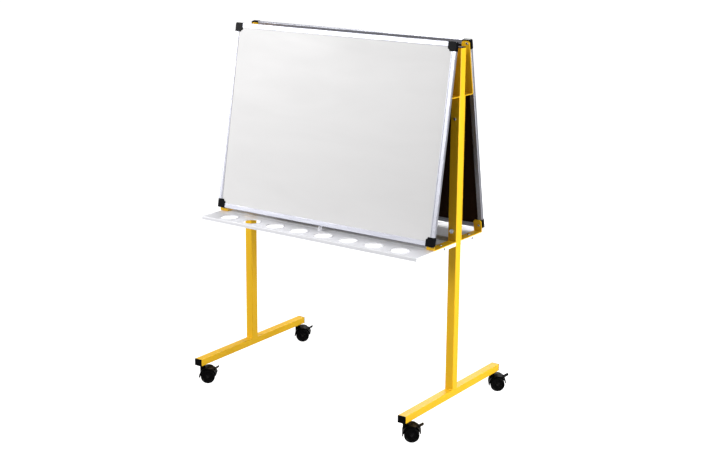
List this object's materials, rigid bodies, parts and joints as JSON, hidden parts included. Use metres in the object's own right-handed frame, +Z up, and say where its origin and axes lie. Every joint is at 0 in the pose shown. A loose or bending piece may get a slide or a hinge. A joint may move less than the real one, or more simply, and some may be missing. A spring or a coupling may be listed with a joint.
{
  "type": "h frame easel",
  "caption": "Mobile two-sided whiteboard easel: framed boards leaning together on a yellow steel H frame with castors and a folded tray with paint-pot holes.",
  "frame": {"origin": "on the floor, midway between the four castor stems", "axes": "+X along the boards to the right, +Y from the front board to the rear board, +Z up"},
  "size_m": [0.9423, 0.622, 1.2592],
  "materials": {
    "yellow_paint": "yellow powder coat",
    "whiteboard": "satin white writing steel",
    "hardboard": "dark brown hardboard",
    "aluminium": "satin anodised",
    "black_plastic": "moulded black plastic",
    "tray_enamel": "light grey-white enamel on folded steel",
    "rail_paint": "pale grey paint",
    "zinc_steel": "zinc plated",
    "castor_plastic": "black nylon",
    "wheel_nylon": "black nylon"
  },
  "bodies": {
    "frame": {"left_foot": "yellow_paint", "left_upright": "yellow_paint", "left_front_bar": "yellow_paint", "left_rear_bar": "yellow_paint", "right_foot": "yellow_paint", "right_upright": "yellow_paint", "right_front_bar": "yellow_paint", "right_rear_bar": "yellow_paint", "foot_plugs": "black_plastic", "upright_plugs": "black_plastic", "board_props": "tray_enamel", "tray_front_shelf": "tray_enamel", "tray_centre_pan": "tray_enamel", "tray_rear_shelf": "tray_enamel", "tray_rail": "rail_paint", "front_board_surface": "whiteboard", "front_board_core": "hardboard", "front_board_top_rail": "aluminium", "front_board_bottom_rail": "aluminium", "front_board_left_rail": "aluminium", "front_board_right_rail": "aluminium", "front_board_corners": "black_plastic", "rear_board_surface": "whiteboard", "rear_board_core": "hardboard", "rear_board_top_rail": "aluminium", "rear_board_bottom_rail": "aluminium", "rear_board_left_rail": "aluminium", "rear_board_right_rail": "aluminium", "rear_board_corners": "black_plastic", "board_screws": "zinc_steel", "bracket_screws": "zinc_steel", "tray_nuts": "zinc_steel", "post_bolts": "zinc_steel", "post_nuts": "zinc_steel", "shelf_rivets": "zinc_steel", "castor_nuts": "zinc_steel", "front_left_castor_stem": "zinc_steel", "front_right_castor_stem": "zinc_steel", "rear_left_castor_stem": "zinc_steel", "rear_right_castor_stem": "zinc_steel"},
    "front_left_castor": {"front_left_castor_housing": "castor_plastic", "front_left_castor_axle": "zinc_steel"},
    "front_left_left_wheel": {"front_left_castor_left_wheel": "wheel_nylon"},
    "front_left_right_wheel": {"front_left_castor_right_wheel": "wheel_nylon"},
    "front_left_brake": {"front_left_castor_brake": "castor_plastic"},
    "front_right_castor": {"front_right_castor_housing": "castor_plastic", "front_right_castor_axle": "zinc_steel"},
    "front_right_left_wheel": {"front_right_castor_left_wheel": "wheel_nylon"},
    "front_right_right_wheel": {"front_right_castor_right_wheel": "wheel_nylon"},
    "front_right_brake": {"front_right_castor_brake": "castor_plastic"},
    "rear_left_castor": {"rear_left_castor_housing": "castor_plastic", "rear_left_castor_axle": "zinc_steel"},
    "rear_left_left_wheel": {"rear_left_castor_left_wheel": "wheel_nylon"},
    "rear_left_right_wheel": {"rear_left_castor_right_wheel": "wheel_nylon"},
    "rear_left_brake": {"rear_left_castor_brake": "castor_plastic"},
    "rear_right_castor": {"rear_right_castor_housing": "castor_plastic", "rear_right_castor_axle": "zinc_steel"},
    "rear_right_left_wheel": {"rear_right_castor_left_wheel": "wheel_nylon"},
    "rear_right_right_wheel": {"rear_right_castor_right_wheel": "wheel_nylon"},
    "rear_right_brake": {"rear_right_castor_brake": "castor_plastic"}
  },
  "joints": [
    {"name": "front_left_swivel", "type": "hinge", "parent": "frame", "child": "front_left_castor", "pos_m": [-0.433, -0.275, 0.05], "axis": [0, 0, 1], "continuous": true},
    {"name": "front_left_left_wheel_spin", "type": "hinge", "parent": "front_left_castor", "child": "front_left_left_wheel", "pos_m": [-0.41642, -0.26382, 0.025], "axis": [-0.5592, 0.829, 0], "continuous": true},
    {"name": "front_left_right_wheel_spin", "type": "hinge", "parent": "front_left_castor", "child": "front_left_right_wheel", "pos_m": [-0.41642, -0.26382, 0.025], "axis": [-0.5592, 0.829, 0], "continuous": true},
    {"name": "front_left_brake_press", "type": "hinge", "parent": "front_left_castor", "child": "front_left_brake", "pos_m": [-0.40432, -0.25565, 0.05029], "axis": [-0.5592, 0.829, 0], "range_deg": [0, 5]},
    {"name": "front_right_swivel", "type": "hinge", "parent": "frame", "child": "front_right_castor", "pos_m": [0.433, -0.275, 0.05], "axis": [0, 0, 1], "continuous": true},
    {"name": "front_right_left_wheel_spin", "type": "hinge", "parent": "front_right_castor", "child": "front_right_left_wheel", "pos_m": [0.44958, -0.26382, 0.025], "axis": [-0.5592, 0.829, 0], "continuous": true},
    {"name": "front_right_right_wheel_spin", "type": "hinge", "parent": "front_right_castor", "child": "front_right_right_wheel", "pos_m": [0.44958, -0.26382, 0.025], "axis": [-0.5592, 0.829, 0], "continuous": true},
    {"name": "front_right_brake_press", "type": "hinge", "parent": "front_right_castor", "child": "front_right_brake", "pos_m": [0.46168, -0.25565, 0.05029], "axis": [-0.5592, 0.829, 0], "range_deg": [0, 5]},
    {"name": "rear_left_swivel", "type": "hinge", "parent": "frame", "child": "rear_left_castor", "pos_m": [-0.433, 0.275, 0.05], "axis": [0, 0, 1], "continuous": true},
    {"name": "rear_left_left_wheel_spin", "type": "hinge", "parent": "rear_left_castor", "child": "rear_left_left_wheel", "pos_m": [-0.41642, 0.28618, 0.025], "axis": [-0.5592, 0.829, 0], "continuous": true},
    {"name": "rear_left_right_wheel_spin", "type": "hinge", "parent": "rear_left_castor", "child": "rear_left_right_wheel", "pos_m": [-0.41642, 0.28618, 0.025], "axis": [-0.5592, 0.829, 0], "continuous": true},
    {"name": "rear_left_brake_press", "type": "hinge", "parent": "rear_left_castor", "child": "rear_left_brake", "pos_m": [-0.40432, 0.29435, 0.05029], "axis": [-0.5592, 0.829, 0], "range_deg": [0, 5]},
    {"name": "rear_right_swivel", "type": "hinge", "parent": "frame", "child": "rear_right_castor", "pos_m": [0.433, 0.275, 0.05], "axis": [0, 0, 1], "continuous": true},
    {"name": "rear_right_left_wheel_spin", "type": "hinge", "parent": "rear_right_castor", "child": "rear_right_left_wheel", "pos_m": [0.44958, 0.28618, 0.025], "axis": [-0.5592, 0.829, 0], "continuous": true},
    {"name": "rear_right_right_wheel_spin", "type": "hinge", "parent": "rear_right_castor", "child": "rear_right_right_wheel", "pos_m": [0.44958, 0.28618, 0.025], "axis": [-0.5592, 0.829, 0], "continuous": true},
    {"name": "rear_right_brake_press", "type": "hinge", "parent": "rear_right_castor", "child": "rear_right_brake", "pos_m": [0.46168, 0.29435, 0.05029], "axis": [-0.5592, 0.829, 0], "range_deg": [0, 5]}
  ]
}
